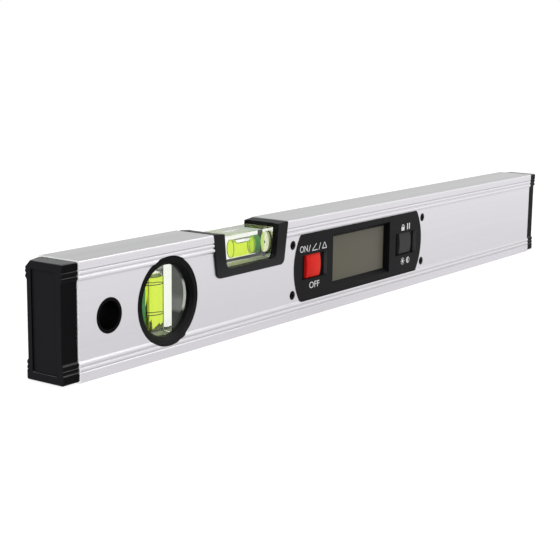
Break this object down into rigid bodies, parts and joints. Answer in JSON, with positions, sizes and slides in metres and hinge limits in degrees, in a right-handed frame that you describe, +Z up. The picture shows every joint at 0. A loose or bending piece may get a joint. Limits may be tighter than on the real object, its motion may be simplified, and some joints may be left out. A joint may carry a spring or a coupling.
{
  "type": "digital inclinometer",
  "caption": "Long ribbed aluminium box level with end caps, a hanging hole, a plumb vial, a level vial, and an angle display with rocking keys and a rear battery cover.",
  "frame": {"origin": "middle of the base, where the level rests on a surface", "axes": "+X along the level towards its display end, +Y from the front face to the rear face, +Z up"},
  "size_m": [0.4, 0.0211, 0.0468],
  "materials": {
    "profile_aluminium": "satin anodised, fine lines along the extrusion",
    "cap_plastic": "fine grain moulded",
    "trim_plastic": "satin moulded",
    "liner_aluminium": "polished",
    "housing_plastic": "moulded",
    "vial_acrylic": "polished clear",
    "vial_liquid": "fluorescent yellow-green",
    "vial_stopper": "pale moulded",
    "vial_seal": "dark",
    "vial_line": "printed black",
    "bezel_plastic": "fine grain moulded",
    "display_glass": "matt polariser",
    "backlight_plastic": "white diffuser",
    "holder_plastic": "white moulded",
    "contact_rubber": "layered conductive",
    "board": "green solder mask",
    "chip": "moulded",
    "key_red": "satin moulded",
    "key_grey": "satin moulded",
    "mat_silicone": "matt",
    "screw_black": "black oxide",
    "screw_steel": "zinc plated",
    "cell": "printed wrap",
    "contact_steel": "nickel plated",
    "lead_red": "insulated wire",
    "lead_black": "insulated wire"
  },
  "bodies": {
    "level_body": {"body_profile": "profile_aluminium", "end_cap_left": "cap_plastic", "end_cap_right": "cap_plastic", "hang_bush_front": "trim_plastic", "hang_bush_rear": "trim_plastic", "plumb_ring_front": "trim_plastic", "plumb_ring_rear": "trim_plastic", "plumb_liner_front": "liner_aluminium", "plumb_liner_rear": "liner_aluminium", "plumb_housing": "housing_plastic", "plumb_vial_block": "vial_acrylic", "plumb_vial_liquid": "vial_liquid", "plumb_vial_plug": "vial_stopper", "plumb_vial_lines": "vial_line", "level_vial_frame": "trim_plastic", "level_vial_block": "vial_acrylic", "level_vial_liquid": "vial_liquid", "level_vial_seal": "vial_seal", "level_vial_plug": "vial_acrylic", "level_vial_disc": "vial_stopper", "level_vial_lines": "vial_line", "display_bezel": "bezel_plastic", "bezel_screws": "screw_black", "lcd_panel": "display_glass", "lcd_backlight": "backlight_plastic", "lcd_holder": "holder_plastic", "zebra_strips": "contact_rubber", "main_pcb": "board", "pcb_screws": "screw_steel", "controller_chip": "chip", "tilt_sensor": "chip", "power_key_mat": "mat_silicone", "hold_key_mat": "mat_silicone", "battery_tray": "bezel_plastic", "tray_screws": "screw_black", "battery_cells": "cell", "battery_bridge": "contact_steel", "battery_contact_positive": "contact_steel", "battery_contact_negative": "contact_steel", "battery_lead_red": "lead_red", "battery_lead_black": "lead_black"},
    "power_key": {"power_key": "key_red"},
    "hold_key": {"hold_key": "key_grey"},
    "battery_door": {"battery_door": "bezel_plastic", "battery_door_screw": "screw_black"}
  },
  "joints": [
    {"name": "power_key_rock", "type": "hinge", "parent": "level_body", "child": "power_key", "pos_m": [-0.03659, -0.0062, 0.0234], "axis": [1, 0, 0], "range_deg": [-5, 5], "stiffness_Nm_per_rad": 0.06, "deforming": ["power_key_mat"]},
    {"name": "hold_key_rock", "type": "hinge", "parent": "level_body", "child": "hold_key", "pos_m": [0.04671, -0.0062, 0.0234], "axis": [1, 0, 0], "range_deg": [-5, 5], "stiffness_Nm_per_rad": 0.06, "deforming": ["hold_key_mat"]},
    {"name": "battery_door_lift", "type": "slide", "parent": "level_body", "child": "battery_door", "axis": [0, 1, 0], "range_m": [0, 0.025]}
  ]
}
